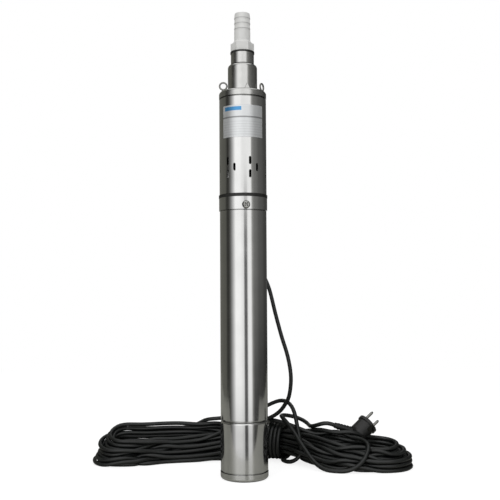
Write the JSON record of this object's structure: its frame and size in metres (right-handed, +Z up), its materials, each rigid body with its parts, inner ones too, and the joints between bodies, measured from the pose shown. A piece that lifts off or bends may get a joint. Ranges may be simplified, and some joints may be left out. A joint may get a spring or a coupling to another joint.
{
  "type": "borehole submersible pump",
  "caption": "Slim stainless borehole pump with an eccentric screw driven by an oil-filled motor, slotted intake, white hose tail, lifting eyes and a coiled mains cable with plug.",
  "frame": {"origin": "centre of the foot's lower face, on the floor", "axes": "+Z up along the shaft, +X to the right and -Y towards the viewer in front"},
  "size_m": [0.5412, 0.2131, 0.7456],
  "materials": {
    "polished_stainless": "polished stainless tube with faint lines along it",
    "cast_stainless": "turned and polished cast stainless",
    "bright_steel": "bright drawn steel",
    "label_foil": "satin silver foil, bare",
    "seal_rubber": "matt black rubber",
    "cable_rubber": "satin black rubber sheath",
    "white_polypropylene": "moulded natural white polypropylene",
    "black_plastic": "fine-grained moulded black",
    "nickel_brass": "nickel-plated",
    "shaft_steel": "ground stainless",
    "bearing_steel": "ground bearing steel",
    "core_iron": "stacked sheet iron, bare",
    "copper_wire": "varnished copper wire",
    "cast_aluminium": "cast, as made",
    "ceramic": "lapped",
    "carbon": "lapped carbon and rubber bellows"
  },
  "bodies": {
    "pump_body": {"foot_cap": "polished_stainless", "foot_o_ring": "seal_rubber", "capacitor_can": "polished_stainless", "capacitor": "cast_aluminium", "lower_bracket": "core_iron", "bracket_o_rings": "seal_rubber", "motor_tube": "polished_stainless", "stator_core": "core_iron", "stator_windings": "copper_wire", "lower_bearing_outer": "bearing_steel", "upper_bearing_outer": "bearing_steel", "motor_flange": "cast_stainless", "flange_o_rings": "seal_rubber", "oil_filler_screw": "bright_steel", "oil_filler_washer": "seal_rubber", "seal_seat": "ceramic", "casing_ring": "seal_rubber", "pump_casing": "polished_stainless", "bare_plate": "label_foil", "stator_sleeve": "shaft_steel", "stator_rubber": "seal_rubber", "discharge_head": "cast_stainless", "head_o_ring": "seal_rubber", "lifting_eyes": "bright_steel", "outlet_gasket": "seal_rubber", "hose_barb": "white_polypropylene", "gland_body": "black_plastic", "gland_nut": "black_plastic", "gland_sleeve": "cable_rubber", "power_cable": "cable_rubber", "cable_hank": "cable_rubber", "plug_lead": "cable_rubber", "plug_sleeve": "cable_rubber", "plug_body": "black_plastic", "plug_pins": "nickel_brass", "plug_earth_clips": "nickel_brass"},
    "motor_rotor": {"motor_shaft": "shaft_steel", "rotor_core": "core_iron", "rotor_end_rings": "cast_aluminium", "lower_bearing_inner": "bearing_steel", "upper_bearing_inner": "bearing_steel", "seal_head": "carbon", "seal_spring": "shaft_steel", "sand_slinger": "seal_rubber", "shaft_coupling": "shaft_steel", "coupling_pin": "shaft_steel"},
    "lower_ball_set": {"lower_bearing_balls": "bearing_steel"},
    "upper_ball_set": {"upper_bearing_balls": "bearing_steel"},
    "flex_shaft": {"flexible_shaft": "shaft_steel"},
    "screw": {"screw_rotor": "shaft_steel"}
  },
  "joints": [
    {"name": "motor_spin", "type": "hinge", "parent": "pump_body", "child": "motor_rotor", "pos_m": [0, 0, 0.26], "axis": [0, 0, 1], "continuous": true},
    {"name": "lower_balls_turn", "type": "hinge", "parent": "pump_body", "child": "lower_ball_set", "pos_m": [0, 0, 0.1003], "axis": [0, 0, 1], "continuous": true},
    {"name": "upper_balls_turn", "type": "hinge", "parent": "pump_body", "child": "upper_ball_set", "pos_m": [0, 0, 0.4273], "axis": [0, 0, 1], "continuous": true},
    {"name": "screw_orbit", "type": "hinge", "parent": "pump_body", "child": "flex_shaft", "pos_m": [0, 0, 0.48], "axis": [0, 0, 1], "continuous": true},
    {"name": "screw_spin", "type": "hinge", "parent": "flex_shaft", "child": "screw", "pos_m": [0.0025, 0, 0.515], "axis": [0, 0, 1], "continuous": true}
  ],
  "couplings": [
    {"joint": "lower_balls_turn", "follows": "motor_spin", "ratio": 0.38},
    {"joint": "upper_balls_turn", "follows": "motor_spin", "ratio": 0.38},
    {"joint": "screw_orbit", "follows": "motor_spin", "ratio": -1},
    {"joint": "screw_spin", "follows": "motor_spin", "ratio": 2}
  ]
}
